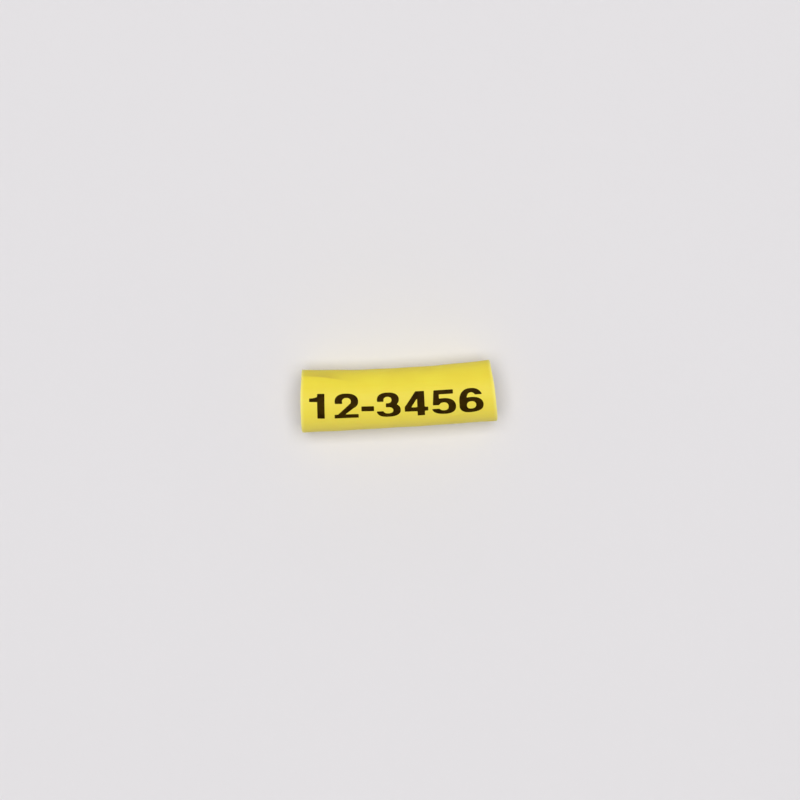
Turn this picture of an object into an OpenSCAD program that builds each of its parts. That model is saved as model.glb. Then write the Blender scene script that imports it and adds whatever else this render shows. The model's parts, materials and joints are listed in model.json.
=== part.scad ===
// Cable marker: a printed heat-shrink sleeve, shrunk round in the middle and creased at its mouths.
// X runs along the bore, +Z is the printed face, and the side creases lie on +Y and -Y.
// The origin is the middle of the bore.

/* [Bore] */
// Diameter that the shrunk sleeve grips
grip_d = 10; // [6:0.5:20]
// Radial slack that the shrunk bore leaves around that diameter
bore_clearance = 0.04; // [0.02:0.01:0.2]

/* [Sleeve] */
// Length along the bore, from cut end to cut end
sleeve_len = 34.5; // [28:0.5:60]
// Thickness of the shrunk wall
wall = 0.28; // [0.2:0.02:0.6]
// Gap under the round middle when the sleeve lies on the small flats of its two mouths
rest_gap = 0.015; // [0.005:0.005:0.03]

/* [Left mouth] */
// How far each side crease stands out from the round middle at the left cut end
left_crease_rise = 0.26; // [0.12:0.02:0.5]
// How far the front and back faces stand out there
left_face_rise = 0.06; // [0.04:0.01:0.1]
// Length over which the left creases fade into the round middle
left_crease_len = 12.5; // [6:0.5:13]

/* [Right mouth] */
// How far each side crease stands out from the round middle at the right cut end
right_crease_rise = 0.14; // [0.12:0.02:0.5]
// How far the front and back faces stand out there
right_face_rise = 0.05; // [0.04:0.01:0.1]
// Length over which the right creases fade into the round middle
right_crease_len = 9; // [6:0.5:13]

/* [Hidden] */

$fn = 128;
marker_yellow = "#eedd4e";

// Radius of the bore along its round middle
bore_r = grip_d / 2 + bore_clearance;
// Outside radius of the round middle
middle_r = bore_r + wall;
// Height of the bore axis above what the sleeve lies on
rest_h = middle_r + rest_gap;
// How far a mouth's creased form runs on inside the round middle before it ends
blend_len = 3;
// How far a cut runs past the face that it opens
cut_past = 1;

// Radius of each of the two arched faces that make a section of the given half width and half height
function face_radius(half_w, half_h) = (half_w * half_w / half_h + half_h) / 2;

// A round bar along X, centred on the origin
module bar(radius, length) {
    rotate([0, 90, 0])
        cylinder(h = length, r = radius, center = true);
}

// The upper half of a cone along X, from x = from_x to to_x, whose axis lies below the origin's plane
module arched_half(from_x, from_r, to_x, to_r, axis_drop) {
    intersection() {
        translate([from_x, 0, -axis_drop])
            rotate([0, 90, 0])
                cylinder(h = to_x - from_x, r1 = from_r, r2 = to_r);
        translate([from_x, -to_r, 0])
            cube([to_x - from_x, 2 * to_r, to_r]);
    }
}

// A mouth's lens-shaped form around a round middle of the given radius: two arched faces that meet
// in a crease on each side, widening towards the cut end at +X and running past it by the given length
module creased_mouth(radius, crease_rise, face_rise, crease_len, past) {
    half_w = radius + crease_rise;
    half_h = radius + face_rise;
    end_r = face_radius(half_w, half_h);
    axis_drop = end_r - half_h;
    start_r = sqrt(radius * radius + axis_drop * axis_drop);
    slope = (end_r - start_r) / crease_len;
    start_x = sleeve_len / 2 - crease_len;
    for (side = [0, 1])
        mirror([0, 0, side])
            arched_half(
                start_x - blend_len,
                start_r - slope * blend_len,
                sleeve_len / 2 + past,
                end_r + slope * past,
                axis_drop
            );
}

// The round middle with both mouths, filled to the axis
module sleeve_form(radius, past) {
    bar(radius, sleeve_len + 2 * past);
    creased_mouth(radius, right_crease_rise, right_face_rise, right_crease_len, past);
    mirror([1, 0, 0])
        creased_mouth(radius, left_crease_rise, left_face_rise, left_crease_len, past);
}

// All that lies below the surface that the sleeve rests on, which presses each mouth's lip flat
module below_rest() {
    box_len = sleeve_len + 2 * cut_past;
    box_w = 2 * middle_r;
    translate([-box_len / 2, -box_w / 2, -rest_h - box_w])
        cube([box_len, box_w, box_w]);
}

module marker_sleeve() {
    color(marker_yellow)
        difference() {
            sleeve_form(middle_r, 0);
            sleeve_form(bore_r, cut_past);
            below_rest();
        }
}

marker_sleeve();
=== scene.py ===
"""Looks of a cable marker: its shrunk sleeve, the number printed on it, the floor, light and camera.

Shapes are worked out in millimetres and handed over in metres. A place on the sleeve is given by x,
along the bore, and by turn, the angle round the bore from the top (+Z) towards the feet of the
printed figures (-Y).
"""

import json
import math

import bpy
import numpy as np
from mathutils import Matrix, Vector


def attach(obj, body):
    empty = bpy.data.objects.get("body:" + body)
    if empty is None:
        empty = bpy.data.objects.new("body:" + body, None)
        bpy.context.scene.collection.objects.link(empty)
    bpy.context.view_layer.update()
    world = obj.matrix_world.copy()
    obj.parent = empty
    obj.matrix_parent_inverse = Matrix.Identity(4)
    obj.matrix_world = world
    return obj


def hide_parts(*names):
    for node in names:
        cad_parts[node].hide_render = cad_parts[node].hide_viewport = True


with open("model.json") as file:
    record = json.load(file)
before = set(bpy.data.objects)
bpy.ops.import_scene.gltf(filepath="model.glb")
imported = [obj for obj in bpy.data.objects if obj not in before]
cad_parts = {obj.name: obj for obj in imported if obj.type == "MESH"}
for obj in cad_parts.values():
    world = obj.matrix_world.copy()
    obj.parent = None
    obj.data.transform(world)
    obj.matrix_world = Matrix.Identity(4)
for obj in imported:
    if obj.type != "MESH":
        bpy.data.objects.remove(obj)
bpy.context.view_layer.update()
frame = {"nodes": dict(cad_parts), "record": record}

MM = 0.001
LEFT = -1
RIGHT = 1

# Sleeve, after the solid that it stands for
SOLID = "marker_sleeve"
SOLID_POINTS = np.array([vertex.co for vertex in frame["nodes"][SOLID].data.vertices]) / MM
HALF_LENGTH = SOLID_POINTS[:, 0].max()
REST_DEPTH = -SOLID_POINTS[:, 2].min()
BORE_R = frame["record"]["mounts"][0]["dims"]["r_mm"]
WALL = 0.28
MIDDLE_R = BORE_R + WALL
CREASE_LEN = {LEFT: 12.5, RIGHT: 9.0}
CUT_END_DEPTH = 0.01
CREASE_BLEND = 0.06
LIP_R = 0.08

# Bow of the whole sleeve towards +Y at both ends, less its mean, so that it stays about the bore axis
BOW = 0.366
BOW_MEAN = 1 / 3

# Ridges along the two side folds of the flat tube, higher towards the mouths
FOLD_SPREAD = math.radians(4)
FOLD_RISE_MIDDLE = 0.012
FOLD_RISE_MOUTH = 0.05
FOLD_RISE_POWER = 4

# Wrinkles that shrinking left, with angles in degrees and the slant in degrees for each millimetre.
# A ridge falls off steeply where turn grows (steep_side 1) or shrinks (-1), and gently opposite.
WRINKLES = [
    {
        "x": -13.3,
        "x_spread": 3.3,
        "turn": -45.2,
        "slant": 1.75,
        "rise": 0.40,
        "steep_side": -1,
        "steep": 8,
        "gentle": 34,
    },
    {
        "x": 10.5,
        "x_spread": 2.2,
        "turn": 42,
        "slant": -2.5,
        "rise": 0.07,
        "steep_side": 1,
        "steep": 9,
        "gentle": 16,
    },
]
WRINKLE_EDGE = math.radians(3)
# Painted shade on the steep side of each wrinkle: the ridge rise that gives it in full, and its fade
WRINKLE_SHADE_RISE = 0.4
WRINKLE_SHADE_FADE = math.radians(28)

# Ripples along the sleeve, some of them winding round it
RIPPLES = [
    {"wave_len": 7.1, "lobes": 0, "phase": -1.26, "rise": 0.030},
    {"wave_len": 13.0, "lobes": 3, "phase": 0.4, "rise": 0.014},
    {"wave_len": 7.5, "lobes": -4, "phase": 1.9, "rise": 0.010},
]

# Cut ends: how far they lie inside the square cut at the tops and feet of the figures, how they
# wander round the sleeve, how fast this fades inwards, and how far their painted highlight reaches
CUT_RECESS = {LEFT: {"top": 0.12, "foot": 0.03}, RIGHT: {"top": 0.32, "foot": 0.0}}
CUT_WAVES = [
    {"lobes": 2, "phase": 0.6, "swing": 0.035},
    {"lobes": 5, "phase": 2.1, "swing": 0.021},
]
CUT_SHIFT_POWER = 12
CUT_HIGHLIGHT_LEN = 0.8
CUT_HIGHLIGHT_POWER = 2

# Mesh steps of the sleeve
STEPS_AROUND = 256
OUTER_STATIONS = 200
BORE_STATIONS = 48
LIP_STEPS = 4

# Printed number: sizes in millimetres along and around the sleeve
LEGEND = "12-3456"
FIGURE_H = 4.55
FIGURE_ADVANCE = 4.84
HYPHEN_ADVANCE = 2.56
LEGEND_CENTRE_X = -0.575
LEGEND_TURN = math.radians(13.8)
LEGEND_SLANT = math.radians(0.95)
INK_RISE = 0.012
INK_DEPTH = 0.03
INK_SHARP = math.radians(40)

# Figure outlines, in shares of the figure height: u runs along the line and v up from it
FIGURE_W = 0.94
HYPHEN_W = 0.49
STEM = 0.285
BAR = 0.17
OVAL_POWER = 2.3

# Grid that the ink is laid on: the spread is in cells, and a cut cell keeps at least a sliver
INK_CELL = 1 / 72
INK_MARGIN = 4 * INK_CELL
INK_SPREAD = 1.0
INK_SPREAD_REACH = 3
INK_EDGE = 0.5
INK_SLIVER = 0.1

# Colours, linear
YELLOW = (0.855, 0.730, 0.053, 1)
YELLOW_DEEP = (0.822, 0.672, 0.047, 1)
# Painted cool shade and pale reflection, towards the feet of the figures
YELLOW_PAINTED_COOL_SHADE = (0.794, 0.660, 0.083, 1)
# Painted highlight at the cut ends; up to a quarter of it also makes the folds paler
YELLOW_CUT_HIGHLIGHT_AND_FOLD = (0.91, 0.83, 0.23, 1)
# Painted shade on the steep sides of the wrinkles
YELLOW_PAINTED_WRINKLE_SHADE = (0.70, 0.54, 0.04, 1)
INK = (0.018, 0.008, 0.0003, 1)
INK_WORN = (0.044, 0.024, 0.001, 1)
FLOOR = (0.749, 0.733, 0.747, 1)
FLOOR_SHADE = (0.737, 0.721, 0.737, 1)
WHITE = (1, 1, 1, 1)

# Surface detail: sizes and bump depths in millimetres, and the range of each noise that is used
NOISE_DETAIL = 3.0
CLOUD_RANGE = (0.3, 0.7)
GRAIN_RANGE = (0.2, 0.8)
PLASTIC_CLOUD_SIZE = 5.0
PLASTIC_CLOUD_DETAIL = 2.0
PLASTIC_GRAIN_SIZE = 0.11
PLASTIC_GRAIN_DEPTH = 0.016
PLASTIC_ROUGHNESS = (0.46, 0.60)
PLASTIC_SPECULAR = 0.2
PLASTIC_GLOW = 0.08
PLASTIC_GLOW_DEPTH = 0.25
DRAWN_SIZE = 0.22
DRAWN_STRETCH = (60, 1, 1)
DRAWN_DEPTH = 0.013
DRAWN_RANGE = (0.45, 0.75)
DRAWN_SHARES = (0.0, 0.5)
FOLD_RANGE = (0.2, 1.0)
FOLD_SHARES = (0.0, 0.25)
INK_CLOUD_SIZE = 1.6
INK_LAID_SIZE = 0.16
INK_LAID_DEPTH = 0.003
INK_LAID_RANGE = (0.5, 0.8)
INK_LAID_SHARES = (0.0, 0.5)
INK_ROUGHNESS = (0.50, 0.64)
INK_SPECULAR = 0.015
FLOOR_CLOUD_SIZE = 60.0
FLOOR_GRAIN_SIZE = 0.8
FLOOR_GRAIN_DEPTH = 0.01
FLOOR_ROUGHNESS = (0.75, 0.9)
FLOOR_SPECULAR = 0.1

# Places across the sleeve, in metres, from which and to which its yellow turns to the painted cool shade
COOL_SHADE_RANGE = (MIDDLE_R * MM, -MIDDLE_R * MM)

# Sockets of a Mix node when it mixes colours
MIX_SHARE = 0
MIX_FIRST = 6
MIX_SECOND = 7
MIX_RESULT = 2

# Camera: its height in metres, its lens and sensor in millimetres, and the frame in pixels
IMAGE_PX = 800
CAMERA_HEIGHT = 0.300
CAMERA_CLIP = 100
CAMERA_LENS = 75.3
CAMERA_SENSOR = 36
SLEEVE_TILT = math.radians(3.3)
ORIGIN_PX = (-2.0, 3.0)

# Light and floor, in metres, and watts for the soft box
WORLD_STRENGTH = 0.07
KEY_SIZE = 0.90
KEY_PLACE = (0.0, 0.035, 1.2)
KEY_POWER = 15.1
FLOOR_FLAT_R = 0.40
FLOOR_CURVE_R = 0.40
FLOOR_CURVE_ARC = math.radians(78)
FLOOR_CURVE_STEPS = 24
FLOOR_STEPS_AROUND = 96


# Form of the sleeve

def mouth_faces(side):
    """Radius at the start, slope and off-axis drop of the solid's two arched faces at one mouth."""
    at_end = SOLID_POINTS[side * SOLID_POINTS[:, 0] > HALF_LENGTH - CUT_END_DEPTH]
    half_w = np.abs(at_end[:, 1]).max()
    half_h = at_end[:, 2].max()
    end_r = (half_w**2 / half_h + half_h) / 2
    drop = end_r - half_h
    start_r = math.hypot(MIDDLE_R, drop)
    return start_r, (end_r - start_r) / CREASE_LEN[side], drop


MOUTH_FACES = {side: mouth_faces(side) for side in (LEFT, RIGHT)}


def mouth_radius(side, x, turn):
    start_r, slope, drop = MOUTH_FACES[side]
    run = side * x - (HALF_LENGTH - CREASE_LEN[side])
    face_r = start_r + slope * run
    return np.sqrt(face_r**2 - (drop * np.sin(turn)) ** 2) - drop * np.abs(np.cos(turn))


def soft_max(a, b, blend):
    """The larger of two values, rounded off where they are within the blend of each other."""
    closeness = np.clip(1 - np.abs(a - b) / blend, 0, None)
    return np.maximum(a, b) + blend * closeness**2 / 4


def fold_mark(turn):
    """1 on the two side folds of the flat tube, fading to 0 beside them."""
    elevation = np.arcsin(np.abs(np.cos(turn)))
    return np.exp(-((elevation / FOLD_SPREAD) ** 2))


def turn_between(turn, other):
    return (turn - other + math.pi) % (2 * math.pi) - math.pi


def beside_ridge(wrinkle, x, turn):
    """Angle from a wrinkle's ridge, positive on its steep side, and the share of its height at x."""
    off_x = x - wrinkle["x"]
    ridge = np.radians(wrinkle["turn"] + wrinkle["slant"] * off_x)
    beside = turn_between(turn, ridge) * wrinkle["steep_side"]
    return beside, np.exp(-((off_x / wrinkle["x_spread"]) ** 2))


def wrinkle_rise(wrinkle, x, turn):
    """Height of a ridge that falls off steeply on one side and gently on the other."""
    beside, share = beside_ridge(wrinkle, x, turn)
    fade = np.radians(np.where(beside > 0, wrinkle["steep"], wrinkle["gentle"]))
    rounded = np.hypot(beside, WRINKLE_EDGE) - WRINKLE_EDGE
    return wrinkle["rise"] * share * np.exp(-rounded / fade)


def shade_in_wrinkles(x, turn):
    """Painted shade, up to 1 on the steep sides of the wrinkles and fading away from their ridges."""
    mark = np.zeros_like(turn)
    for wrinkle in WRINKLES:
        beside, share = beside_ridge(wrinkle, x, turn)
        start = np.clip(beside / WRINKLE_EDGE, 0, 1)
        fade = np.exp(-beside.clip(0) / WRINKLE_SHADE_FADE)
        mark += wrinkle["rise"] / WRINKLE_SHADE_RISE * share * start * fade
    return mark


def outer_radius(x, turn):
    radius = MIDDLE_R
    for side in (LEFT, RIGHT):
        radius = soft_max(radius, mouth_radius(side, x, turn), CREASE_BLEND)
    to_mouth = (x / HALF_LENGTH) ** FOLD_RISE_POWER
    fold_rise = FOLD_RISE_MIDDLE + (FOLD_RISE_MOUTH - FOLD_RISE_MIDDLE) * to_mouth
    radius = radius + fold_mark(turn) * fold_rise
    for ripple in RIPPLES:
        swing = 2 * math.pi * x / ripple["wave_len"] + ripple["lobes"] * turn + ripple["phase"]
        radius = radius + ripple["rise"] * np.sin(swing)
    for wrinkle in WRINKLES:
        radius = radius + wrinkle_rise(wrinkle, x, turn)
    return radius


def skin(x, turn, lift):
    """Points at a height above the sleeve's outer face, in metres, bowed and pressed flat underneath."""
    radius = outer_radius(x, turn) + lift
    across = -radius * np.sin(turn)
    up = np.maximum(radius * np.cos(turn), -REST_DEPTH)
    share = x / HALF_LENGTH
    lean = np.arctan(2 * BOW * share / HALF_LENGTH)
    along = x - across * np.sin(lean)
    sideways = BOW * (share**2 - BOW_MEAN) + across * np.cos(lean)
    return np.stack([along, sideways, up], axis=-1) * MM


# Meshes

def new_piece(name, points, faces, material):
    mesh = bpy.data.meshes.new(name)
    mesh.from_pydata(points.tolist(), [], faces)
    mesh.materials.append(material)
    mesh.shade_smooth()
    piece = bpy.data.objects.new(name, mesh)
    bpy.context.scene.collection.objects.link(piece)
    return piece


def add_mark(piece, name, values):
    """Keeps one number per point on the mesh, for its material to read."""
    mark = piece.data.attributes.new(name, "FLOAT", "POINT")
    mark.data.foreach_set("value", np.ascontiguousarray(values, dtype=np.float32))


def lip_arc(side, middle_lift, angles):
    x = side * (HALF_LENGTH - LIP_R + LIP_R * np.cos(angles))
    return np.column_stack([x, middle_lift + LIP_R * np.sin(angles)])


def wall_loop():
    """The wall's section along the bore, as a closed loop of (x, lift) with rounded lips."""
    quarter = np.linspace(0, math.pi / 2, LIP_STEPS + 1)
    reach = HALF_LENGTH - LIP_R
    outer_x = np.linspace(-reach, reach, OUTER_STATIONS)[1:-1]
    bore_x = np.linspace(reach, -reach, BORE_STATIONS)[1:-1]
    return np.vstack([
        lip_arc(LEFT, -LIP_R, quarter),
        np.column_stack([outer_x, np.zeros_like(outer_x)]),
        lip_arc(RIGHT, -LIP_R, quarter[::-1]),
        lip_arc(RIGHT, LIP_R - WALL, -quarter),
        np.column_stack([bore_x, np.full_like(bore_x, -WALL)]),
        lip_arc(LEFT, LIP_R - WALL, -quarter[::-1]),
    ])


def cut_shift(x, turn):
    """How far a slanted, slightly uneven cut moves the wall along x, fading inwards from the ends."""
    to_top = (1 - np.sin(turn)) / 2
    shift = sum(wave["swing"] * np.sin(wave["lobes"] * turn + wave["phase"]) for wave in CUT_WAVES)
    for side, recess in CUT_RECESS.items():
        inwards = recess["foot"] + (recess["top"] - recess["foot"]) * to_top
        shift = np.where(np.sign(x) == side, side * (shift - inwards), shift)
    return shift * np.abs(x / HALF_LENGTH) ** CUT_SHIFT_POWER


def cut_highlight_mark(x):
    """Share of the painted highlight: 1 at the cut ends, fading to 0 inwards."""
    return np.clip(1 - (HALF_LENGTH - np.abs(x)) / CUT_HIGHLIGHT_LEN, 0, 1) ** CUT_HIGHLIGHT_POWER


def make_sleeve(material):
    loop = wall_loop()
    around = np.linspace(0, 2 * math.pi, STEPS_AROUND, endpoint=False)
    x = np.repeat(loop[:, 0], STEPS_AROUND)
    lift = np.repeat(loop[:, 1], STEPS_AROUND)
    turn = np.tile(around, len(loop))
    points = skin(x + cut_shift(x, turn), turn, lift)
    number = np.arange(len(points)).reshape(len(loop), STEPS_AROUND)
    next_turn = np.roll(number, -1, axis=1)
    corners = [number, next_turn, np.roll(next_turn, -1, axis=0), np.roll(number, -1, axis=0)]
    quads = np.stack(corners, axis=-1).reshape(-1, 4)
    sleeve = new_piece("marker_sleeve_skin", points, quads.tolist(), material)
    # Painted highlight at the cut ends
    add_mark(sleeve, "cut_highlight", cut_highlight_mark(x))
    add_mark(sleeve, "fold", fold_mark(turn))
    # Painted shade on the steep sides of the wrinkles
    add_mark(sleeve, "wrinkle_shade", shade_in_wrinkles(x, turn))
    return sleeve


# Figures of the printed number: each shape is a field over (u, v), above 0 inside its outline

def box(u, v, u0, v0, u1, v1):
    return np.minimum.reduce([u - u0, u1 - u, v - v0, v1 - v])


def oval(u, v, middle_u, middle_v, half_u, half_v):
    off_u = np.abs((u - middle_u) / half_u)
    off_v = np.abs((v - middle_v) / half_v)
    reach = (off_u**OVAL_POWER + off_v**OVAL_POWER) ** (1 / OVAL_POWER)
    return (1 - reach) * min(half_u, half_v)


def convex(u, v, *corners):
    """A convex shape, from its corners in anticlockwise order."""
    sides = []
    for (u0, v0), (u1, v1) in zip(corners, corners[1:] + corners[:1]):
        side = (u1 - u0) * (v - v0) - (v1 - v0) * (u - u0)
        sides.append(side / math.hypot(u1 - u0, v1 - v0))
    return np.minimum.reduce(sides)


def join(*shapes):
    return np.maximum.reduce(shapes)


def cut(shape, *holes):
    return np.minimum.reduce([shape, *[-hole for hole in holes]])


def ring(u, v, middle_u, middle_v, half_u, half_v):
    """An oval band, as thick as a stem at its sides and as a bar at its top and bottom."""
    counter = oval(u, v, middle_u, middle_v, half_u - STEM, half_v - BAR)
    return cut(oval(u, v, middle_u, middle_v, half_u, half_v), counter)


def hyphen(u, v):
    return box(u, v, 0, 0.285, HYPHEN_W, 0.485)


def one(u, v):
    stem = box(u, v, 0.40, 0, 0.40 + STEM, 1)
    flag = cut(box(u, v, 0.09, 0.685, 0.45, 1), oval(u, v, 0.09, 1.0, 0.38, 0.175))
    return join(stem, flag)


def two(u, v):
    bowl = ring(u, v, 0.468, 0.69, 0.455, 0.31)
    mouth = convex(u, v, (-0.5, -0.41), (0.60, 0.60), (0.60, 0.605), (-0.5, 0.605))
    slope = convex(u, v, (0, 0.05), (0.39, 0.155), (0.82, 0.487), (0.60, 0.60))
    foot = box(u, v, 0, 0, 0.93, BAR)
    return join(cut(bowl, mouth), slope, foot)


def three(u, v):
    bowls = join(oval(u, v, 0.445, 0.72, 0.425, 0.28), oval(u, v, 0.465, 0.295, 0.465, 0.295))
    upper = join(oval(u, v, 0.43, 0.705, 0.155, 0.125), box(u, v, -1, 0.58, 0.43, 0.645))
    lower = join(oval(u, v, 0.455, 0.29, 0.19, 0.13), box(u, v, -1, 0.265, 0.455, 0.42))
    return cut(bowls, upper, lower, box(u, v, -1, 0.265, 0.36, 0.645))


def four(u, v):
    stem = box(u, v, 0.51, 0, 0.51 + STEM, 1)
    bar = box(u, v, 0.02, 0.205, 0.93, 0.205 + BAR)
    corners = [(0.02, 0.30), (0.22, 0.30), (0.62, 0.89), (0.62, 1), (0.455, 1), (0.02, 0.395)]
    return join(stem, bar, convex(u, v, *corners))


def five(u, v):
    top = box(u, v, 0.095, 1 - BAR, 0.85, 1)
    stem = convex(u, v, (0.045, 0.405), (0.295, 0.405), (0.295, 1), (0.095, 1))
    bowl = ring(u, v, 0.47, 0.338, 0.47, 0.338)
    mouth = join(box(u, v, -1, 0.25, 0.40, 0.405), box(u, v, -1, 0.25, 0.2, 1))
    return join(top, stem, cut(bowl, mouth))


def six(u, v):
    bowl = oval(u, v, 0.475, 0.325, 0.465, 0.325)
    counter = oval(u, v, 0.475, 0.325, 0.465 - STEM, 0.325 - BAR)
    inside = oval(u, v, 0.475, 0.56, 0.465 - STEM, 0.44 - BAR)
    mouth = box(u, v, 0.475, -1, 2, 0.735)
    back = cut(oval(u, v, 0.475, 0.5, 0.465, 0.5), inside, mouth)
    side = box(u, v, 0.01, 0.3, 0.2, 0.5)
    return cut(join(bowl, back, side), counter)


FIGURES = {"1": one, "2": two, "3": three, "4": four, "5": five, "6": six, "-": hyphen}


def ink_cover(shape):
    """How much of each grid point the ink covers, from 0 to 1, spread a little as wet ink spreads."""
    cover = np.clip(shape / INK_CELL + INK_EDGE, 0, 1)
    reach = np.arange(-INK_SPREAD_REACH, INK_SPREAD_REACH + 1)
    weights = np.exp(-((reach / INK_SPREAD) ** 2) / 2)
    weights /= weights.sum()
    for axis in (0, 1):
        cover = np.apply_along_axis(np.convolve, axis, cover, weights, "same")
    return cover


def inked_faces(cover):
    """Fills the inked part of a grid with faces, whole cells inside and cut cells along its outline."""
    places = []
    faces = []
    known = {}

    def number(key, place):
        if key not in known:
            known[key] = len(places)
            places.append(place)
        return known[key]

    inked = cover > INK_EDGE
    for row in range(cover.shape[0] - 1):
        for column in range(cover.shape[1] - 1):
            if not inked[row:row + 2, column:column + 2].any():
                continue
            corners = [(row, column), (row, column + 1), (row + 1, column + 1), (row + 1, column)]
            face = []
            for here, there in zip(corners, corners[1:] + corners[:1]):
                if inked[here]:
                    face.append(number(here, here))
                if inked[here] != inked[there]:
                    share = (INK_EDGE - cover[here]) / (cover[there] - cover[here])
                    share = min(max(share, INK_SLIVER), 1 - INK_SLIVER)
                    place = [a + share * (b - a) for a, b in zip(here, there)]
                    face.append(number(frozenset((here, there)), place))
            faces.append(face)
    return np.array(places), faces


def figure_film(shape, width):
    """Places (u, v) and faces of one flat figure."""
    u = np.arange(-INK_MARGIN, width + INK_MARGIN, INK_CELL)
    v = np.arange(-INK_MARGIN, 1 + INK_MARGIN, INK_CELL)
    places, faces = inked_faces(ink_cover(shape(*np.meshgrid(u, v))))
    return places[:, ::-1] * INK_CELL - INK_MARGIN, faces


def legend_places():
    """Flat places, in millimetres from the middle of the printed line, and faces of the number."""
    advances = [HYPHEN_ADVANCE if sign == "-" else FIGURE_ADVANCE for sign in LEGEND]
    pen = -sum(advances) / 2
    places = []
    faces = []
    for sign, advance in zip(LEGEND, advances):
        width = HYPHEN_W if sign == "-" else FIGURE_W
        film, film_faces = figure_film(FIGURES[sign], width)
        first = sum(len(part) for part in places)
        faces += [[first + point for point in face] for face in film_faces]
        places.append((film - (width / 2, 1 / 2)) * FIGURE_H + (pen + advance / 2, 0))
        pen += advance
    return np.vstack(places), faces


def close_film(faces, count):
    """Adds the underside and side walls to a film whose points come top first, then underside."""
    edges = {edge for face in faces for edge in zip(face, face[1:] + face[:1])}
    under = [[point + count for point in reversed(face)] for face in faces]
    walls = [[b, a, a + count, b + count] for a, b in sorted(edges) if (b, a) not in edges]
    return faces + under + walls


def make_legend(material):
    places, faces = legend_places()
    along, up = places.T
    x = LEGEND_CENTRE_X + along * math.cos(LEGEND_SLANT) + up * math.sin(LEGEND_SLANT)
    above = up * math.cos(LEGEND_SLANT) - along * math.sin(LEGEND_SLANT)
    turn = LEGEND_TURN - above / MIDDLE_R
    points = np.vstack([skin(x, turn, INK_RISE), skin(x, turn, -INK_DEPTH)])
    legend = new_piece("printed_number", points, close_film(faces, len(places)), material)
    legend.data.set_sharp_from_angle(angle=INK_SHARP)
    return legend


# Materials

class Shader:
    """Adds and joins the nodes of one procedural material."""

    def __init__(self, name):
        self.material = bpy.data.materials.new(name)
        self.material.use_nodes = True
        self.tree = self.material.node_tree
        self.surface = self.tree.nodes["Principled BSDF"]
        self.place = self.add("TexCoord").outputs["Object"]

    def add(self, kind, **inputs):
        node = self.tree.nodes.new("ShaderNode" + kind)
        for name, value in inputs.items():
            self.feed(node.inputs[name.replace("_", " ").title()], value)
        return node

    def feed(self, socket, value):
        if isinstance(value, bpy.types.NodeSocket):
            self.tree.links.new(value, socket)
        else:
            socket.default_value = value

    def set(self, **inputs):
        for name, value in inputs.items():
            socket = name.replace("_", " ").title().replace("Ior", "IOR")
            self.feed(self.surface.inputs[socket], value)

    def noise(self, size, stretch=(1, 1, 1), detail=NOISE_DETAIL):
        """Noise of about the given size, in millimetres, drawn out by the stretch along each axis."""
        scale = [1 / (size * MM * longer) for longer in stretch]
        mapped = self.add("Mapping", vector=self.place, scale=scale).outputs["Vector"]
        return self.add("TexNoise", vector=mapped, scale=1.0, detail=detail).outputs["Fac"]

    def mark(self, name):
        node = self.add("Attribute")
        node.attribute_name = name
        return node.outputs["Fac"]

    def span(self, value, given, wanted=(0.0, 1.0)):
        """Maps the given range of a value to the wanted one, and keeps it inside that."""
        node = self.add("MapRange", value=value, from_min=given[0], from_max=given[1])
        self.feed(node.inputs["To Min"], wanted[0])
        self.feed(node.inputs["To Max"], wanted[1])
        return node.outputs["Result"]

    def mix(self, share, first, second):
        node = self.add("Mix")
        node.data_type = "RGBA"
        self.feed(node.inputs[MIX_SHARE], share)
        self.feed(node.inputs[MIX_FIRST], first)
        self.feed(node.inputs[MIX_SECOND], second)
        return node.outputs[MIX_RESULT]

    def bump(self, height, depth, under=None):
        """Bump with the given depth, in millimetres, over another bump where there is one."""
        node = self.add("Bump", strength=1.0, distance=depth * MM, height=height)
        if under:
            self.feed(node.inputs["Normal"], under)
        return node.outputs["Normal"]


def sleeve_material():
    """Satin heat-shrunk plastic: cloudy yellow with drawn lines along the tube.

    Towards the feet of the figures its yellow is painted paler and duller, as cool shade and a pale
    reflection; the cut ends carry a painted highlight, the folds are paler, and the steep side of each
    wrinkle is painted deeper, as shade.
    """
    shader = Shader("shrunk_yellow_plastic")
    clouds = shader.noise(PLASTIC_CLOUD_SIZE, detail=PLASTIC_CLOUD_DETAIL)
    drawn = shader.noise(DRAWN_SIZE, stretch=DRAWN_STRETCH)
    grain = shader.noise(PLASTIC_GRAIN_SIZE)
    across = shader.add("SeparateXYZ", vector=shader.place).outputs["Y"]
    body = shader.mix(shader.span(clouds, CLOUD_RANGE), YELLOW, YELLOW_DEEP)
    # Painted cool shade: the yellow turns paler and duller towards the feet of the figures
    cool_shaded = shader.mix(shader.span(across, COOL_SHADE_RANGE), body, YELLOW_PAINTED_COOL_SHADE)
    streaked = shader.mix(shader.span(drawn, DRAWN_RANGE, DRAWN_SHARES), cool_shaded, YELLOW_DEEP)
    # Painted shade on the steep sides of the wrinkles
    wrinkle_shade = shader.mix(shader.mark("wrinkle_shade"), streaked, YELLOW_PAINTED_WRINKLE_SHADE)
    folded = shader.mix(shader.span(shader.mark("fold"), FOLD_RANGE, FOLD_SHARES), wrinkle_shade, YELLOW_CUT_HIGHLIGHT_AND_FOLD)
    # Painted highlight along the cut ends
    shader.set(base_color=shader.mix(shader.mark("cut_highlight"), folded, YELLOW_CUT_HIGHLIGHT_AND_FOLD))
    shader.set(roughness=shader.span(grain, GRAIN_RANGE, PLASTIC_ROUGHNESS))
    shader.set(normal=shader.bump(grain, PLASTIC_GRAIN_DEPTH, shader.bump(drawn, DRAWN_DEPTH)))
    shader.set(specular_ior_level=PLASTIC_SPECULAR)
    shader.set(subsurface_weight=PLASTIC_GLOW, subsurface_scale=PLASTIC_GLOW_DEPTH * MM)
    return shader.material


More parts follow.
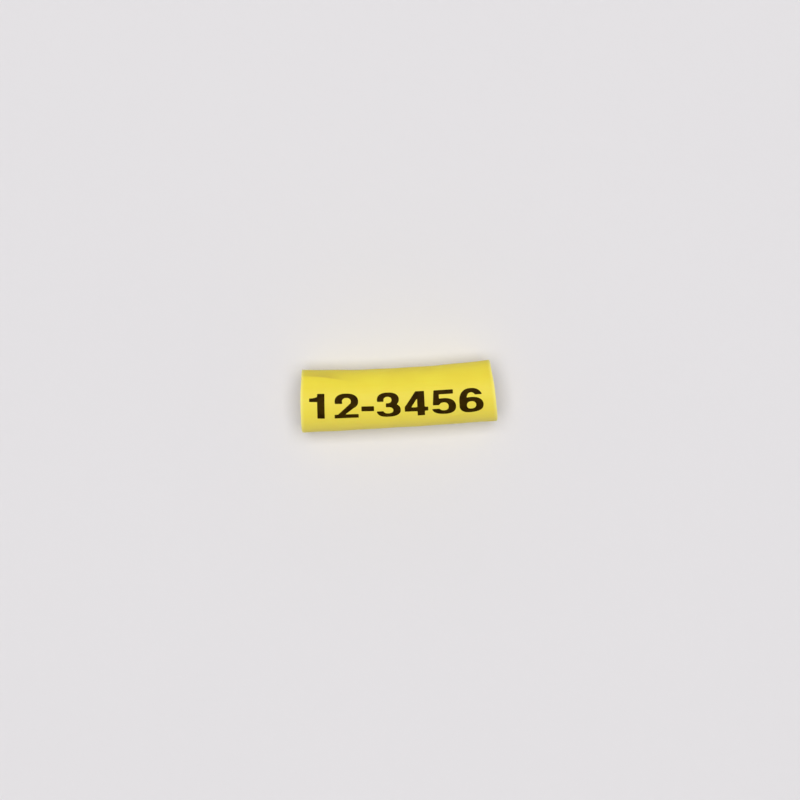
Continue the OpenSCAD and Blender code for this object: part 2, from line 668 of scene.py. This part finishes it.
def ink_material():
    """Thin black print, a little brown where the ribbon laid less of it down."""
    shader = Shader("print_ink")
    laid = shader.noise(INK_LAID_SIZE)
    clouds = shader.noise(INK_CLOUD_SIZE)
    cloudy = shader.mix(shader.span(clouds, CLOUD_RANGE), INK, INK_WORN)
    thin = shader.span(laid, INK_LAID_RANGE, INK_LAID_SHARES)
    shader.set(base_color=shader.mix(thin, cloudy, INK_WORN))
    shader.set(roughness=shader.span(clouds, CLOUD_RANGE, INK_ROUGHNESS))
    shader.set(normal=shader.bump(laid, INK_LAID_DEPTH))
    shader.set(specular_ior_level=INK_SPECULAR)
    return shader.material


def floor_material():
    shader = Shader("pale_floor")
    clouds = shader.noise(FLOOR_CLOUD_SIZE)
    grain = shader.noise(FLOOR_GRAIN_SIZE)
    shader.set(base_color=shader.mix(clouds, FLOOR, FLOOR_SHADE))
    shader.set(roughness=shader.span(grain, GRAIN_RANGE, FLOOR_ROUGHNESS))
    shader.set(normal=shader.bump(grain, FLOOR_GRAIN_DEPTH))
    shader.set(specular_ior_level=FLOOR_SPECULAR)
    return shader.material


# Stage

def make_floor(material):
    """A round floor that curves up into a wall well away from the sleeve and hides the horizon."""
    arc = np.linspace(0, FLOOR_CURVE_ARC, FLOOR_CURVE_STEPS)
    circle = np.linspace(0, 2 * math.pi, FLOOR_STEPS_AROUND, endpoint=False)
    rise = np.repeat(arc, FLOOR_STEPS_AROUND)
    around = np.tile(circle, FLOOR_CURVE_STEPS)
    reach = FLOOR_FLAT_R + FLOOR_CURVE_R * np.sin(rise)
    height = FLOOR_CURVE_R * (1 - np.cos(rise)) - REST_DEPTH * MM
    points = np.column_stack([reach * np.cos(around), reach * np.sin(around), height])
    number = np.arange(len(points)).reshape(FLOOR_CURVE_STEPS, FLOOR_STEPS_AROUND)
    next_turn = np.roll(number, -1, axis=1)
    corners = [number[:-1], number[1:], next_turn[1:], next_turn[:-1]]
    wall = np.stack(corners, axis=-1).reshape(-1, 4)
    return new_piece("floor", points, [number[0].tolist(), *wall.tolist()], material)


def make_camera():
    """Looks straight down, turned and shifted so that the sleeve lies in the frame as in the photograph."""
    camera = bpy.data.objects.new("camera", bpy.data.cameras.new("camera"))
    camera.data.lens = CAMERA_LENS
    camera.data.sensor_width = CAMERA_SENSOR
    camera.data.clip_start = CAMERA_HEIGHT / CAMERA_CLIP
    camera.data.clip_end = CAMERA_HEIGHT * CAMERA_CLIP
    metres_per_px = CAMERA_HEIGHT * CAMERA_SENSOR / CAMERA_LENS / IMAGE_PX
    right = -ORIGIN_PX[0] * metres_per_px
    up = -ORIGIN_PX[1] * metres_per_px
    turned = Matrix.Rotation(-SLEEVE_TILT, 4, "Z")
    offset = turned @ Vector((right, up, CAMERA_HEIGHT))
    camera.matrix_world = Matrix.Translation(offset) @ turned
    bpy.context.scene.collection.objects.link(camera)
    bpy.context.scene.camera = camera


def make_light():
    """One large soft box overhead, a little towards the tops of the figures, in a dim even room."""
    world = bpy.data.worlds.new("soft_room")
    world.use_nodes = True
    room = world.node_tree.nodes["Background"]
    room.inputs["Color"].default_value = WHITE
    room.inputs["Strength"].default_value = WORLD_STRENGTH
    bpy.context.scene.world = world
    key = bpy.data.objects.new("soft_box", bpy.data.lights.new("soft_box", "AREA"))
    key.data.shape = "SQUARE"
    key.data.size = KEY_SIZE
    key.data.energy = KEY_POWER
    key.location = KEY_PLACE
    key.rotation_mode = "QUATERNION"
    key.rotation_quaternion = (-Vector(KEY_PLACE)).to_track_quat("-Z", "Y")
    bpy.context.scene.collection.objects.link(key)


sleeve = make_sleeve(sleeve_material())
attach(sleeve, "root")
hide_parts(SOLID)

legend = make_legend(ink_material())
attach(legend, "root")

make_floor(floor_material())
make_camera()
make_light()
bpy.context.scene.view_settings.view_transform = "Standard"
